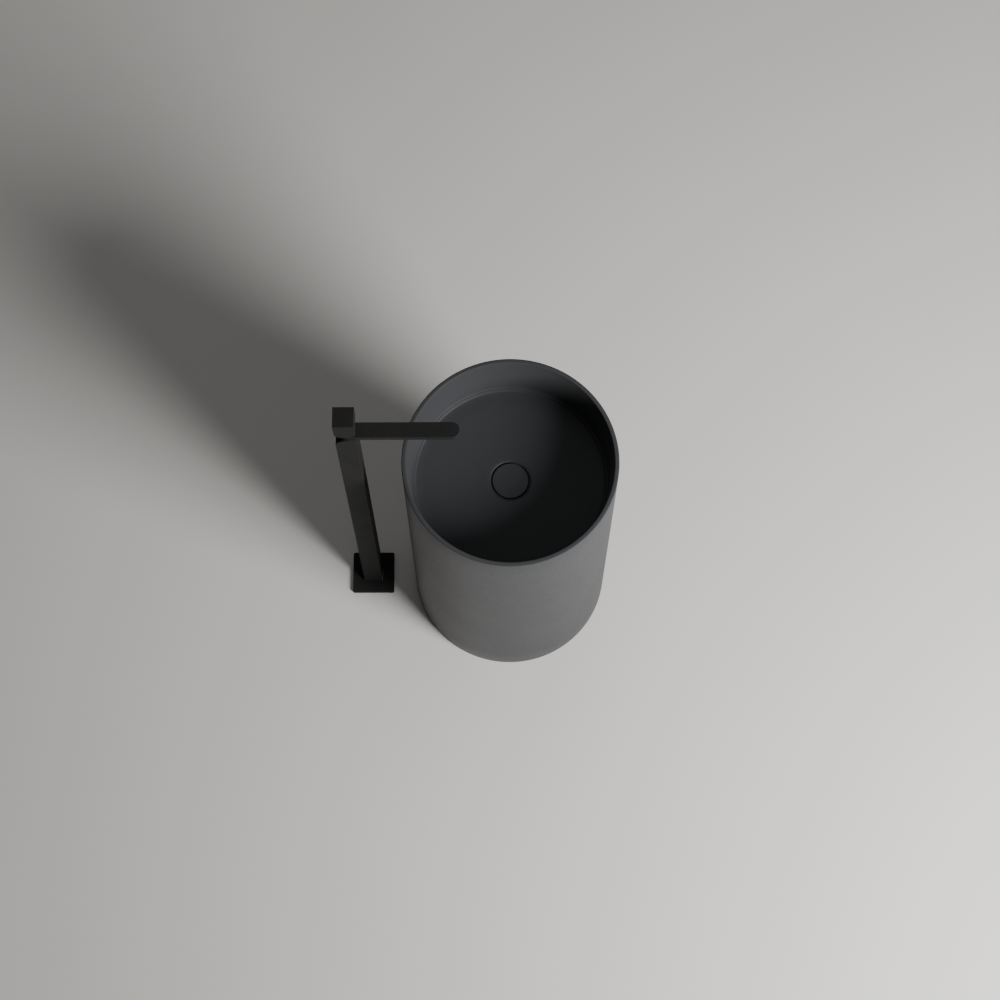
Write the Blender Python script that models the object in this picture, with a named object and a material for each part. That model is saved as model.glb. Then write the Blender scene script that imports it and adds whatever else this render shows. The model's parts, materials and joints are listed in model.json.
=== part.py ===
"""Floor-standing cylindrical washbasin with its floor-standing mixer tap.

Units are metres, +Z is up and the floor is Z = 0.  X runs from the tap to the
basin, -Y is the side a person stands on.  The origin is the middle of the
floor rectangle that the whole set covers.

Every sub-part is its own object.  Pieces that move hang from an empty that
sits on their joint's axis.
"""
import math
import bpy
import bmesh
from mathutils import Vector

# --------------------------------------------------------------------------
# Driving dimensions (metres)
# --------------------------------------------------------------------------
MM = 0.001
GAP = 0.0003                 # clearance kept between pieces that touch

BASIN_R = 0.2225             # outside radius of the column
BASIN_H = 0.850              # rim height
RIM_IN_R = 0.2134            # inside radius at the rim
BOWL_R = 0.2053              # inside radius at the foot of the bowl's wall
BOWL_Z = 0.7202              # bowl floor at its edge
SHELL_R = 0.2085             # inside radius of the hollow column
DRAIN_R = 0.040              # recess round the drain cover
COVER_R = 0.0375             # drain cover
COVER_Z = 0.7195             # top of the drain cover when shut
COVER_LIFT = 0.008           # how far it rises when open

TAP_OFFSET = 0.3225          # basin axis to tap axis, along X
TAP_Y = -0.0035              # tap axis, along Y
PLATE = 0.097                # square floor cover
PLATE_T = 0.009
COL = 0.042                  # square column of the tap
ARCH_Z = 1.0330              # centre of the column's round top
SPOUT_W = 0.032
SPOUT_Z0 = 1.0480
SPOUT_Z1 = 1.0618
SPOUT_REACH = 0.2232         # tap axis to the spout's tip
OUTLET_X = 0.2050            # tap axis to the aerator
KNOB_Z0 = 1.0757             # underside of the handle block
KNOB_Z1 = 1.1385             # top of the handle block
KNOB_R = 0.018               # rounding of its lower edges
PIVOT_Z = 1.0840             # tilt axis of the handle
BALL_Z = PIVOT_Z - 0.0075    # spindle's ball, which drives the ceramic disc

SET_W = BASIN_R + TAP_OFFSET + PLATE / 2
BASIN_X = SET_W / 2 - BASIN_R
TAP_X = BASIN_X - TAP_OFFSET
BC = Vector((BASIN_X, 0.0, 0.0))
TC = Vector((TAP_X, TAP_Y, 0.0))

# --------------------------------------------------------------------------
# Scene and helpers
# --------------------------------------------------------------------------
for old in list(bpy.data.objects):
    bpy.data.objects.remove(old, do_unlink=True)


def material(name, rgb, rough, metal=0.0):
    m = bpy.data.materials.new(name)
    m.use_nodes = True
    b = m.node_tree.nodes["Principled BSDF"]
    b.inputs["Base Color"].default_value = (rgb[0], rgb[1], rgb[2], 1.0)
    b.inputs["Roughness"].default_value = rough
    b.inputs["Metallic"].default_value = metal
    return m


PALETTE = {
    "anthracite": ((0.075, 0.078, 0.083), 0.55, 0.0),
    "black": ((0.022, 0.022, 0.022), 0.42, 0.2),
    "brass": ((0.66, 0.50, 0.24), 0.35, 1.0),
    "steel": ((0.60, 0.61, 0.62), 0.35, 1.0),
    "chrome": ((0.72, 0.73, 0.74), 0.15, 1.0),
    "rubber": ((0.03, 0.03, 0.03), 0.8, 0.0),
    "white_plastic": ((0.78, 0.78, 0.76), 0.5, 0.0),
    "grey_plastic": ((0.35, 0.36, 0.37), 0.5, 0.0),
    "ceramic_disc": ((0.88, 0.88, 0.86), 0.2, 0.0),
    "braid": ((0.50, 0.51, 0.52), 0.4, 0.9),
}


def empty(name, loc, parent=None):
    e = bpy.data.objects.new(name, None)
    e.empty_display_size = 0.02
    bpy.context.collection.objects.link(e)
    if parent is not None:
        e.parent = parent
        e.location = Vector(loc) - world_of(parent)
    else:
        e.location = loc
    return e


def world_of(obj):
    p = obj.location.copy()
    while obj.parent is not None:
        obj = obj.parent
        p += obj.location
    return p


def finish(bm, name, look, loc, parent=None, smooth=True, angle=35.0):
    """Closes a bmesh into a named object standing at world point loc."""
    bmesh.ops.remove_doubles(bm, verts=bm.verts, dist=1e-6)
    bmesh.ops.recalc_face_normals(bm, faces=bm.faces)
    me = bpy.data.meshes.new(name)
    bm.to_mesh(me)
    bm.free()
    if smooth:
        me.shade_smooth()
        me.set_sharp_from_angle(angle=math.radians(angle))
    ob = bpy.data.objects.new(name, me)
    rgb, rough, metal = PALETTE[look]
    me.materials.append(material(name + "_material", rgb, rough, metal))
    bpy.context.collection.objects.link(ob)
    ob.location = Vector(loc)
    if parent is not None:
        ob.parent = parent
        ob.location = Vector(loc) - world_of(parent)
    return ob


def spin_profile(bm, pts, segs):
    """Turns a profile of (radius, z) points about Z.  A profile that starts
    and ends on the axis is left open there, any other is closed."""
    on_axis = pts[0][0] < 1e-9 and pts[-1][0] < 1e-9
    vs = [bm.verts.new((r, 0.0, z)) for r, z in pts]
    es = [bm.edges.new((vs[i], vs[i + 1])) for i in range(len(vs) - 1)]
    if not on_axis:
        es.append(bm.edges.new((vs[-1], vs[0])))
    bmesh.ops.spin(bm, geom=vs + es, cent=(0, 0, 0), axis=(0, 0, 1),
                   angle=2 * math.pi, steps=segs, use_merge=True,
                   use_duplicate=False)
    bmesh.ops.remove_doubles(bm, verts=bm.verts, dist=1e-6)
    bmesh.ops.dissolve_degenerate(bm, dist=1e-7, edges=bm.edges)
    bmesh.ops.recalc_face_normals(bm, faces=bm.faces)


def lathe(name, pts, segs, look, loc, parent=None, lay=None, angle=35.0):
    """Turned piece.  pts are (radius, z) in metres; lay="y" or "x" lays the
    turning axis along that direction instead of Z."""
    bm = bmesh.new()
    spin_profile(bm, pts, segs)
    if lay == "y":
        for v in bm.verts:
            v.co = Vector((v.co.x, v.co.z, -v.co.y))
    elif lay == "x":
        for v in bm.verts:
            v.co = Vector((v.co.z, v.co.x, v.co.y))
    return finish(bm, name, look, loc, parent, angle=angle)


def ring(name, r0, r1, z0, z1, segs, look, loc, parent=None, lay=None):
    return lathe(name, [(r0, z0), (r1, z0), (r1, z1), (r0, z1)], segs, look,
                 loc, parent, lay)


def prism(bm, outline, z0, z1):
    """Extrudes a plan outline of (x, y) points from z0 to z1."""
    base = [bm.verts.new((x, y, z0)) for x, y in outline]
    face = bm.faces.new(base)
    out = bmesh.ops.extrude_face_region(bm, geom=[face])
    up = [g for g in out["geom"] if isinstance(g, bmesh.types.BMVert)]
    bmesh.ops.translate(bm, verts=up, vec=(0, 0, z1 - z0))


def stand_up(bm, depth_mid=0.0):
    """Turns an outline drawn in plan (x, y) and extruded in z so that the
    drawing stands in the XZ plane and the extrusion runs along Y."""
    for v in bm.verts:
        v.co = Vector((v.co.x, depth_mid - v.co.z, v.co.y))


def rounded_square(side, r, steps):
    h = side / 2 - r
    pts = []
    for k, (sx, sy) in enumerate(((1, 1), (-1, 1), (-1, -1), (1, -1))):
        for i in range(steps + 1):
            a = math.pi / 2 * (k + i / steps)
            pts.append((sx * h + r * math.cos(a), sy * h + r * math.sin(a)))
    return pts


def polygon(n, r, turn=0.0):
    return [(r * math.cos(turn + 2 * math.pi * i / n),
             r * math.sin(turn + 2 * math.pi * i / n)) for i in range(n)]


def cutter(name, build, loc=(0, 0, 0)):
    """A hidden tool body for a Boolean."""
    bm = bmesh.new()
    build(bm)
    bmesh.ops.remove_doubles(bm, verts=bm.verts, dist=1e-7)
    bmesh.ops.recalc_face_normals(bm, faces=bm.faces)
    me = bpy.data.meshes.new(name)
    bm.to_mesh(me)
    bm.free()
    ob = bpy.data.objects.new(name, me)
    bpy.context.collection.objects.link(ob)
    ob.location = loc
    ob.hide_render = True
    ob.display_type = "WIRE"
    return ob


def box_into(bm, x0, x1, y0, y1, z0, z1):
    prism(bm, [(x0, y0), (x1, y0), (x1, y1), (x0, y1)], z0, z1)


def cyl_into(bm, r, z0, z1, x=0.0, y=0.0, n=24, turn=0.0):
    prism(bm, [(x + px, y + py) for px, py in polygon(n, r, turn)], z0, z1)


def lying_cyl_into(bm, r, a0, a1, along, cy, cz, n=20):
    """Cylinder along "x" or "y" from a0 to a1; cy is its other plan
    coordinate and cz its height."""
    made = bmesh.new()
    prism(made, polygon(n, r), a0, a1)
    for v in made.verts:
        if along == "y":
            v.co = Vector((v.co.x + cy, v.co.z, -v.co.y + cz))
        else:
            v.co = Vector((v.co.z, v.co.x + cy, v.co.y + cz))
    me = bpy.data.meshes.new("tool")
    made.to_mesh(me)
    made.free()
    bm.from_mesh(me)
    bpy.data.meshes.remove(me)


def boolean(ob, tool, op="DIFFERENCE"):
    m = ob.modifiers.new(tool.name, "BOOLEAN")
    m.operation = op
    m.solver = "EXACT"
    m.object = tool


def bevel(ob, width, segs=2, limit=40.0):
    m = ob.modifiers.new("edge_rounding", "BEVEL")
    m.width = width
    m.segments = segs
    m.limit_method = "ANGLE"
    m.angle_limit = math.radians(limit)
    return m


def hex_nut(name, flats, bore, z0, z1, look, loc, n=24):
    bm = bmesh.new()
    prism(bm, polygon(6, flats / math.sqrt(3)), z0, z1)
    ob = finish(bm, name, look, loc, smooth=False)
    boolean(ob, cutter(name + "_bore", lambda b: cyl_into(b, bore, z0 - 0.002,
                                                          z1 + 0.002, n=n), loc))
    return ob


def arc(cx, cz, r, a0, a1, n):
    """Points on an arc in degrees, ends included."""
    return [(cx + r * math.cos(math.radians(a0 + (a1 - a0) * i / n)),
             cz + r * math.sin(math.radians(a0 + (a1 - a0) * i / n)))
            for i in range(n + 1)]


def hollow_tube(name, pts, r, wall, look, loc, parent=None, sides=2, sharp=35.0):
    """Tube along a path: an open bevelled curve with a wall."""
    cu = bpy.data.curves.new(name, "CURVE")
    cu.dimensions = "3D"
    cu.bevel_depth = r
    cu.bevel_resolution = sides
    cu.use_fill_caps = False
    sp = cu.splines.new("POLY")
    sp.points.add(len(pts) - 1)
    for p, q in zip(sp.points, pts):
        p.co = (q[0], q[1], q[2], 1.0)
    sp.use_smooth = True
    ob = bpy.data.objects.new(name, cu)
    rgb, rough, metal = PALETTE[look]
    cu.materials.append(material(name + "_material", rgb, rough, metal))
    bpy.context.collection.objects.link(ob)
    ob.location = Vector(loc)
    if parent is not None:
        ob.parent = parent
        ob.location = Vector(loc) - world_of(parent)
    so = ob.modifiers.new("wall", "SOLIDIFY")
    so.thickness = wall
    so.offset = -1.0
    so.use_rim = True
    return ob


# --------------------------------------------------------------------------
# Joint axes
# --------------------------------------------------------------------------
drain_axis = empty("drain_axis", (BC.x, BC.y, COVER_Z))
turn_axis = empty("handle_turn_axis", (TC.x, TC.y, PIVOT_Z))
tilt_axis = empty("handle_tilt_axis", (TC.x, TC.y, PIVOT_Z), turn_axis)
disc_axis = empty("disc_slide_axis", (TC.x, TC.y, BALL_Z), turn_axis)

# --------------------------------------------------------------------------
# Basin column: one shell, bowl on top, hollow and open below
# --------------------------------------------------------------------------
FLOOR_MID = BOWL_Z - 0.0007
profile = [(BASIN_R - 0.001, 0.0), (BASIN_R, 0.001)]
profile += arc(BASIN_R - 0.0022, BASIN_H - 0.0022, 0.0022, 0, 90, 4)
profile += arc(RIM_IN_R + 0.0015, BASIN_H - 0.0015, 0.0015, 90, 180, 3)
profile += [(BOWL_R, 0.7292)]
profile += [(BOWL_R - 0.0006, 0.7272), (BOWL_R - 0.0019, 0.7257), (BOWL_R - 0.0037, 0.7250)]
profile += [(BOWL_R - 0.0052, 0.7245), (BOWL_R - 0.0062, 0.7229), (BOWL_R - 0.0072, 0.7213),
            (BOWL_R - 0.0098, BOWL_Z)]
profile += [(0.060, FLOOR_MID), (DRAIN_R + 0.0060, FLOOR_MID - 0.0002),
            (DRAIN_R + 0.0020, FLOOR_MID - 0.0012),
            (DRAIN_R, FLOOR_MID - 0.0042)]
profile += [(DRAIN_R, 0.7095), (0.023, 0.7095), (0.023, 0.6975), (0.056, 0.6975),
            (0.064, 0.7040), (0.188, 0.7060)]
profile += [(0.1985, 0.7035), (0.2055, 0.6970), (SHELL_R, 0.6870), (SHELL_R, 0.0)]
lathe("basin_column", profile, 48, "anthracite", BC)

# --------------------------------------------------------------------------
# Waste: body in the bowl floor, its seals and nut
# --------------------------------------------------------------------------
waste_body = lathe("waste_body", [
    (0.0185, 0.7138), (0.0310, 0.7138), (0.0315, 0.7132), (0.0315, 0.7116),
    (0.0209, 0.7116), (0.0209, 0.6400), (0.0180, 0.6400), (0.0180, 0.7131)],
    24, "chrome", BC)
boolean(waste_body, cutter("waste_spider", lambda b: (
    box_into(b, -0.0192, 0.0192, -0.0018, 0.0018, 0.6670, 0.6720)), BC), "UNION")
boolean(waste_body, cutter("waste_spider_cross", lambda b: (
    box_into(b, -0.0018, 0.0018, -0.0192, 0.0192, 0.6670, 0.6720)), BC), "UNION")
boolean(waste_body, cutter("waste_hub", lambda b: cyl_into(
    b, 0.0065, 0.6640, 0.6750, n=16, turn=math.pi / 16), BC), "UNION")
boolean(waste_body, cutter("waste_hub_bore", lambda b: cyl_into(
    b, 0.0043, 0.6600, 0.6800, n=16), BC))

ring("waste_top_gasket", 0.0234, 0.0306, 0.7098, 0.7113, 24, "rubber", BC)
ring("waste_under_gasket", 0.0213, 0.0330, 0.6942, 0.6972, 24, "rubber", BC)
ring("waste_slip_washer", 0.0213, 0.0320, 0.6924, 0.6939, 24, "white_plastic", BC)
hex_nut("waste_lock_nut", 0.052, 0.0213, 0.6800, 0.6921, "brass", BC)

# Press-to-close mechanism on the spider's hub
lathe("click_housing", [
    (0.0, 0.6550), (0.0039, 0.6550), (0.0039, 0.6753), (0.0070, 0.6753),
    (0.0070, 0.7040), (0.0052, 0.7040), (0.0052, 0.6780), (0.0, 0.6780)],
    16, "brass", BC)
hex_nut("click_lock_nut", 0.013, 0.0043, 0.6575, 0.6636, "brass", BC, n=16)

TURNS, WIRE = 4.5, 0.0005
SPRING_Z0, SPRING_Z1 = 0.6789, 0.6872
coil = bpy.data.curves.new("click_spring", "CURVE")
coil.dimensions = "3D"
coil.bevel_depth = WIRE
coil.bevel_resolution = 0
coil.use_fill_caps = True
coil_line = coil.splines.new("POLY")
COIL_N = int(TURNS * 12)
coil_line.points.add(COIL_N)
for i, p in enumerate(coil_line.points):
    a = 2 * math.pi * TURNS * i / COIL_N
    p.co = (0.0042 * math.cos(a), 0.0042 * math.sin(a),
            SPRING_Z0 - COVER_Z + (SPRING_Z1 - SPRING_Z0) * i / COIL_N, 1.0)
coil_line.use_smooth = True
coil.materials.append(material("click_spring_material", *PALETTE["steel"]))
spring = bpy.data.objects.new("click_spring", coil)
bpy.context.collection.objects.link(spring)
spring.location = (BC.x, BC.y, COVER_Z)

# Cover, with what rises with it
def cz(z):
    return z - COVER_Z


lathe("cover_stem", [(r, cz(z)) for r, z in (
    (0.0, 0.6880), (0.0047, 0.6880), (0.0047, 0.6950), (0.0030, 0.6950),
    (0.0030, 0.7155), (0.0, 0.7155))], 16, "brass", (BC.x, BC.y, COVER_Z), drain_axis)
lathe("drain_cover", [(r, cz(z)) for r, z in (
    (0.0, COVER_Z), (COVER_R - 0.0010, COVER_Z), (COVER_R - 0.0003, COVER_Z - 0.0003),
    (COVER_R, COVER_Z - 0.0010), (COVER_R, 0.7130), (COVER_R - 0.0004, 0.7126),
    (0.0346, 0.7126), (0.0346, 0.7166), (0.0070, 0.7166), (0.0070, 0.7105),
    (0.0033, 0.7105), (0.0033, 0.7158), (0.0, 0.7158))], 40, "anthracite",
    (BC.x, BC.y, COVER_Z), drain_axis)
ring("cover_seal", 0.0205, 0.0275, cz(0.7141), cz(0.7163), 24, "rubber",
     (BC.x, BC.y, COVER_Z), drain_axis)

# --------------------------------------------------------------------------
# Bottle trap under the bowl and its outlet down to the floor
# --------------------------------------------------------------------------
ring("trap_inlet_washer", 0.0148, 0.0205, 0.6363, 0.6397, 24, "rubber", BC)
lathe("trap_inlet_tube", [
    (0.0144, 0.5200), (0.0160, 0.5200), (0.0160, 0.6330), (0.0205, 0.6330),
    (0.0205, 0.6360), (0.0144, 0.6360)], 24, "chrome", BC)
lathe("trap_inlet_nut", [
    (0.0164, 0.6270), (0.0258, 0.6270), (0.0270, 0.6282), (0.0270, 0.6538),
    (0.0258, 0.6550), (0.0213, 0.6550), (0.0213, 0.6327), (0.0164, 0.6327)],
    24, "chrome", BC)
TRAP_OUT_Z = 0.5745
trap_body = lathe("trap_body", [
    (0.0304, 0.5400), (0.0330, 0.5400), (0.0330, 0.5965), (0.0310, 0.5990),
    (0.0205, 0.5990), (0.0205, 0.6120), (0.0165, 0.6120), (0.0165, 0.5962),
    (0.0304, 0.5962)], 28, "chrome", BC)
boolean(trap_body, cutter("trap_spigot", lambda b: lying_cyl_into(
    b, 0.0195, 0.0262, 0.0480, "y", 0.0, TRAP_OUT_Z, n=24), BC), "UNION")
boolean(trap_body, cutter("trap_spigot_bore", lambda b: lying_cyl_into(
    b, 0.0165, 0.0225, 0.0520, "y", 0.0, TRAP_OUT_Z, n=24), BC))
ring("trap_top_washer", 0.0163, 0.0203, 0.6123, 0.6143, 24, "rubber", BC)
lathe("trap_top_nut", [
    (0.0209, 0.6000), (0.0260, 0.6000), (0.0260, 0.6180), (0.0164, 0.6180),
    (0.0164, 0.6146), (0.0209, 0.6146)], 24, "chrome", BC)
lathe("trap_cup", [
    (0.0, 0.4880), (0.0290, 0.4880), (0.0330, 0.4920), (0.0330, 0.5310),
    (0.0370, 0.5340), (0.0370, 0.5480), (0.0334, 0.5480), (0.0334, 0.5375),
    (0.0304, 0.5375), (0.0304, 0.4930), (0.0285, 0.4910), (0.0, 0.4910)],
    28, "chrome", BC)
ring("trap_cup_seal", 0.0308, 0.0329, 0.5378, 0.5396, 28, "rubber", BC)
ring("trap_outlet_washer", 0.0163, 0.0193, 0.0483, 0.0503, 24, "rubber",
     (BC.x, BC.y, TRAP_OUT_Z), lay="y")
lathe("trap_outlet_nut", [
    (0.0199, 0.0360), (0.0250, 0.0360), (0.0250, 0.0540), (0.0164, 0.0540),
    (0.0164, 0.0506), (0.0199, 0.0506)], 24, "chrome", (BC.x, BC.y, TRAP_OUT_Z), lay="y")
BEND, PIPE_Y = 0.045, 0.120
route = [(0.0, 0.0400, TRAP_OUT_Z), (0.0, 0.0600, TRAP_OUT_Z)]
for i in range(13):
    a = math.radians(90.0 - 90.0 * i / 12)
    route.append((0.0, PIPE_Y - BEND + BEND * math.cos(a),
                  TRAP_OUT_Z - BEND + BEND * math.sin(a)))
route += [(0.0, PIPE_Y, 0.30), (0.0, PIPE_Y, 0.0004)]
hollow_tube("waste_outlet_pipe", route, 0.0160, 0.0017, "chrome", BC, sides=4)
lathe("floor_waste_collar", [
    (0.0165, 0.0), (0.0360, 0.0), (0.0360, 0.0030), (0.0210, 0.0090), (0.0165, 0.0090)],
    28, "rubber", (BC.x, BC.y + PIPE_Y, 0.0))

# --------------------------------------------------------------------------
# Angle brackets inside the foot and their floor screws
# --------------------------------------------------------------------------
BR_ANGLES = (200.0, 20.0)


def bracket_into(bm):
    """L-section lying along Y: a leg on the floor, a leg up the wall."""
    pts = [(0.1800, 0.0), (0.2068, 0.0), (0.2068, 0.0280), (0.2038, 0.0280),
           (0.2038, 0.0030), (0.1800, 0.0030)]
    prism(bm, pts, -0.0130, 0.0130)
    stand_up(bm)


for k, deg in enumerate(BR_ANGLES):
    nm = "floor_bracket_%d" % (k + 1)
    bm = bmesh.new()
    bracket_into(bm)
    br = finish(bm, nm, "steel", BC, smooth=False)
    br.rotation_euler = (0, 0, math.radians(deg))
    hole = cutter(nm + "_hole", lambda b: cyl_into(
        b, 0.0029, -0.002, 0.006, x=0.1910, n=16), BC)
    hole.rotation_euler = (0, 0, math.radians(deg))
    boolean(br, hole)

for k, deg in enumerate(BR_ANGLES):
    a = math.radians(deg)
    lathe("bracket_screw_%d" % (k + 1), [
        (0.0, 0.0004), (0.0025, 0.0004), (0.0025, 0.0033), (0.0052, 0.0033),
        (0.0052, 0.0048), (0.0040, 0.0062), (0.0, 0.0066)], 12, "steel",
        BC + Vector((0.1910 * math.cos(a), 0.1910 * math.sin(a), 0)))

# --------------------------------------------------------------------------
# Tap: foot flange, its anchor screws and the cover plate
# --------------------------------------------------------------------------
SCREW_AT = 0.0340
bm = bmesh.new()
prism(bm, rounded_square(0.084, 0.004, 2), 0.0, 0.004)
flange = finish(bm, "tap_foot_flange", "steel", TC, smooth=False)
boolean(flange, cutter("flange_window", lambda b: box_into(
    b, -0.0180, 0.0180, -0.0180, 0.0180, -0.004, 0.008), TC))


def flange_holes(b):
    for sx in (-1, 1):
        for sy in (-1, 1):
            cyl_into(b, 0.0033, -0.004, 0.008, x=sx * SCREW_AT, y=sy * SCREW_AT, n=14)


boolean(flange, cutter("flange_screw_holes", flange_holes, TC))

for k, (sx, sy) in enumerate(((-1, -1), (1, -1), (1, 1), (-1, 1))):
    lathe("flange_screw_%d" % (k + 1), [
        (0.0, 0.0004), (0.0029, 0.0004), (0.0029, 0.0043), (0.0056, 0.0043),
        (0.0056, 0.0056), (0.0044, 0.0070), (0.0, 0.0071)], 12, "steel",
        TC + Vector((sx * SCREW_AT, sy * SCREW_AT, 0)))

bm = bmesh.new()
prism(bm, rounded_square(PLATE, 0.004, 4), 0.0, PLATE_T)
plate = finish(bm, "tap_cover_plate", "black", TC, angle=30)
bevel(plate, 0.0009, 2, 50.0)
boolean(plate, cutter("plate_pocket", lambda b: box_into(
    b, -0.0450, 0.0450, -0.0450, 0.0450, -0.004, 0.0076), TC))
boolean(plate, cutter("plate_window", lambda b: box_into(
    b, -COL / 2 - 0.0004, COL / 2 + 0.0004, -COL / 2 - 0.0004, COL / 2 + 0.0004,
    0.002, 0.014), TC))

# --------------------------------------------------------------------------
# Tap column: square tube with a full-round head, slotted for the spout
# --------------------------------------------------------------------------
HEAD_Z = 1.0200
outline = [(-COL / 2, 0.0043), (COL / 2, 0.0043)] + arc(0.0, ARCH_Z, COL / 2, 0, 180, 20)
bm = bmesh.new()
prism(bm, outline, -COL / 2, COL / 2)
stand_up(bm)
column = finish(bm, "tap_column", "black", TC, angle=30)
bevel(column, 0.0009, 2, 50.0)
boolean(column, cutter("column_cavity", lambda b: box_into(
    b, -0.0185, 0.0185, -0.0185, 0.0185, -0.01, HEAD_Z), TC))
boolean(column, cutter("column_slot", lambda b: box_into(
    b, -0.03, 0.03, -SPOUT_W / 2 - GAP, SPOUT_W / 2 + GAP, SPOUT_Z0 - GAP, 1.08), TC))
boolean(column, cutter("column_head_bore", lambda b: cyl_into(
    b, 0.0104, HEAD_Z - 0.004, 1.07, n=28), TC))

# Tap body: threaded stem down through spout and head, cup for the cartridge
BODY_UNDER = SPOUT_Z1 + GAP
body = lathe("tap_body", [
    (0.0, 0.9850), (0.0100, 0.9850), (0.0100, 1.0497), (0.0089, 1.0497), (0.0089, 1.0513),
    (0.0100, 1.0513), (0.0100, 1.0587), (0.0089, 1.0587), (0.0089, 1.0603),
    (0.0100, 1.0603), (0.0100, BODY_UNDER), (0.0145, BODY_UNDER), (0.0145, 1.0785),
    (0.0137, 1.0785), (0.0137, 1.0720), (0.0128, 1.0720), (0.0128, 1.0660), (0.0, 1.0660)],
    24, "black", TC)


def body_ports(b):
    for sy in (-1, 1):
        cyl_into(b, 0.0024, 0.9900, 1.0700, y=sy * 0.005, n=12)
    cyl_into(b, 0.0024, 1.0530, 1.0700, x=0.005, n=12)


boolean(body, cutter("body_ports", body_ports, TC))


def body_sockets(b):
    for sy in (-1, 1):
        cyl_into(b, 0.0043, 0.9800, 0.9970, y=sy * 0.005, n=16)


boolean(body, cutter("body_sockets", body_sockets, TC))
boolean(body, cutter("body_side_port", lambda b: lying_cyl_into(
    b, 0.0022, 0.0050, 0.0120, "x", 0.0, 1.0552, n=12), TC))

for nm, zc in (("lower", 1.0505), ("upper", 1.0595)):
    lathe(nm + "_stem_o_ring", [(0.00965 + 0.00045 * math.cos(2 * math.pi * i / 6),
                                 zc + 0.00045 * math.sin(2 * math.pi * i / 6))
                                for i in range(6)], 24, "rubber", TC, angle=80)

ring("body_clamp_washer", 0.0104, 0.0160, 1.0182, 1.0197, 20, "steel", TC)
hex_nut("body_clamp_nut", 0.028, 0.0103, 1.0060, 1.0179, "brass", TC)

# --------------------------------------------------------------------------
# Spout: flat bar with round ends, water channel inside, aerator at the tip
# --------------------------------------------------------------------------
half = SPOUT_W / 2
spout_plan = arc(SPOUT_REACH - half, 0.0, half, -90, 90, 18) + arc(0.0, 0.0, half, 90, 270, 18)
bm = bmesh.new()
prism(bm, spout_plan, SPOUT_Z0, SPOUT_Z1)
spout = finish(bm, "spout", "black", TC, angle=30)
bevel(spout, 0.0009, 2, 50.0)
boolean(spout, cutter("spout_root_bore", lambda b: cyl_into(
    b, 0.0104, 1.04, 1.07, n=28), TC))
boolean(spout, cutter("spout_channel", lambda b: box_into(
    b, 0.0080, OUTLET_X - 0.003, -0.0090, 0.0090, 1.0518, 1.0582), TC))
boolean(spout, cutter("spout_outlet_bore", lambda b: cyl_into(
    b, 0.0084, 1.04, 1.0582, x=OUTLET_X, n=24), TC))
AC = TC + Vector((OUTLET_X, 0, 0))
ring("aerator_housing", 0.0070, 0.0081, SPOUT_Z0 + 0.0002, 1.0550, 24, "black", AC)
aer = lathe("aerator_insert", [(0.0, 1.0490), (0.0067, 1.0490), (0.0067, 1.0530), (0.0, 1.0530)],
            20, "grey_plastic", AC)


def aerator_holes(b):
    for count, rad in ((1, 0.0), (6, 0.0022), (10, 0.0046)):
        for i in range(count):
            a = 2 * math.pi * i / count + 0.21
            cyl_into(b, 0.0007, 1.045, 1.057, x=rad * math.cos(a), y=rad * math.sin(a), n=6)


boolean(aer, cutter("aerator_holes", aerator_holes, AC))

# --------------------------------------------------------------------------
# Cartridge: housing, base, ceramic discs, guide, pin and spindle
# --------------------------------------------------------------------------
lathe("cartridge_housing", [
    (0.0109, 1.0663), (0.0125, 1.0663), (0.0125, 1.0895), (0.0066, 1.0895),
    (0.0066, 1.0876), (0.0109, 1.0876)], 24, "white_plastic", TC)


def ports(b):
    for x, y in ((0, -0.005), (0, 0.005), (0.005, 0)):
        cyl_into(b, 0.0022, 1.060, 1.080, x=x, y=y, n=12)


base = lathe("cartridge_base", [(0.0, 1.0663), (0.0106, 1.0663), (0.0106, 1.0683), (0.0, 1.0683)],
             24, "grey_plastic", TC)
boolean(base, cutter("base_ports", ports, TC))
fixed = lathe("fixed_ceramic_disc", [(0.0, 1.0686), (0.0105, 1.0686), (0.0105, 1.0711), (0.0, 1.0711)],
              24, "ceramic_disc", TC)
boolean(fixed, cutter("fixed_disc_ports", ports, TC))


def bz(z):
    return z - BALL_Z


disc_at = (TC.x, TC.y, BALL_Z)
moving = lathe("moving_ceramic_disc", [(0.0, bz(1.0714)), (0.0070, bz(1.0714)),
               (0.0070, bz(1.0739)), (0.0, bz(1.0739))], 24, "ceramic_disc", disc_at, disc_axis)
pocket = cutter("moving_disc_pocket", lambda b: box_into(
    b, -0.0010, 0.0045, -0.0038, 0.0038, bz(1.0700), bz(1.0726)), disc_at)
boolean(moving, pocket)
lathe("disc_carrier", [(0.0, bz(1.0742)), (0.0070, bz(1.0742)), (0.0070, bz(1.0790)),
      (0.0042, bz(1.0790)), (0.0027, bz(1.0774)), (0.0027, bz(1.0750)), (0.0, bz(1.0750))],
      20, "grey_plastic", disc_at, disc_axis)


def pz(z):
    return z - PIVOT_Z


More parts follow.
